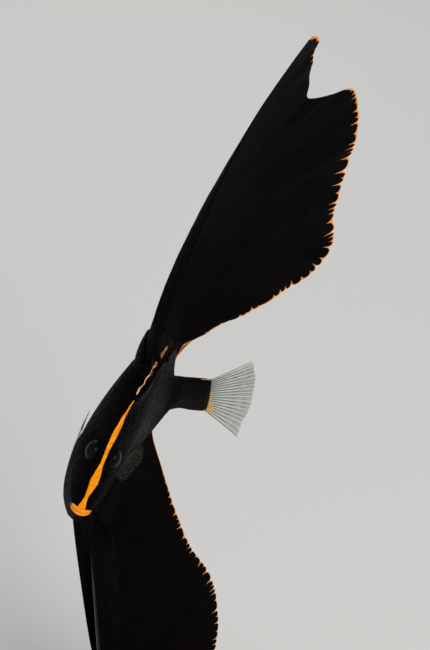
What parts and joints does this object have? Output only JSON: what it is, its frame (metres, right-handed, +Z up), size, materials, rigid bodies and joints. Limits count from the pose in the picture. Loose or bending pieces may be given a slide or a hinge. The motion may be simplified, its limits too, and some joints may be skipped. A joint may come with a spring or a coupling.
{
  "type": "pinnate batfish, juvenile",
  "caption": "Life-size model of a young batfish turning to its left, with a tall dorsal and long lower fins, on a rod over a round base.",
  "frame": {"origin": "centre of the underside of the round base", "axes": "+Z up, -X the way the head points, -Y the side of the fish's left flank and of the inside of its turn"},
  "size_m": [0.14, 0.14, 0.2837],
  "materials": {
    "skin": "velvet black, fine scales, orange line on the forehead",
    "fin_black": "satin black skin over rays, orange rear margin on the dorsal and anal fin",
    "fin_clear": "clear skin over fine rays",
    "eye": "wet and glossy, near black",
    "lip_orange": "satin orange",
    "wood": "oiled, turned",
    "rod": "blackened steel"
  },
  "bodies": {
    "root": {"head": "skin", "trunk": "skin", "caudal_peduncle": "skin", "dorsal_fin": "fin_black", "anal_fin": "fin_black", "pelvic_fin_left": "fin_black", "pelvic_fin_right": "fin_black", "caudal_fin": "fin_clear", "pectoral_fin_left": "fin_clear", "pectoral_fin_right": "fin_clear", "eye_left": "eye", "eye_right": "eye", "lip_upper": "lip_orange", "lip_lower": "lip_orange", "stand_base": "wood", "stand_rod": "rod"}
  },
  "joints": []
}
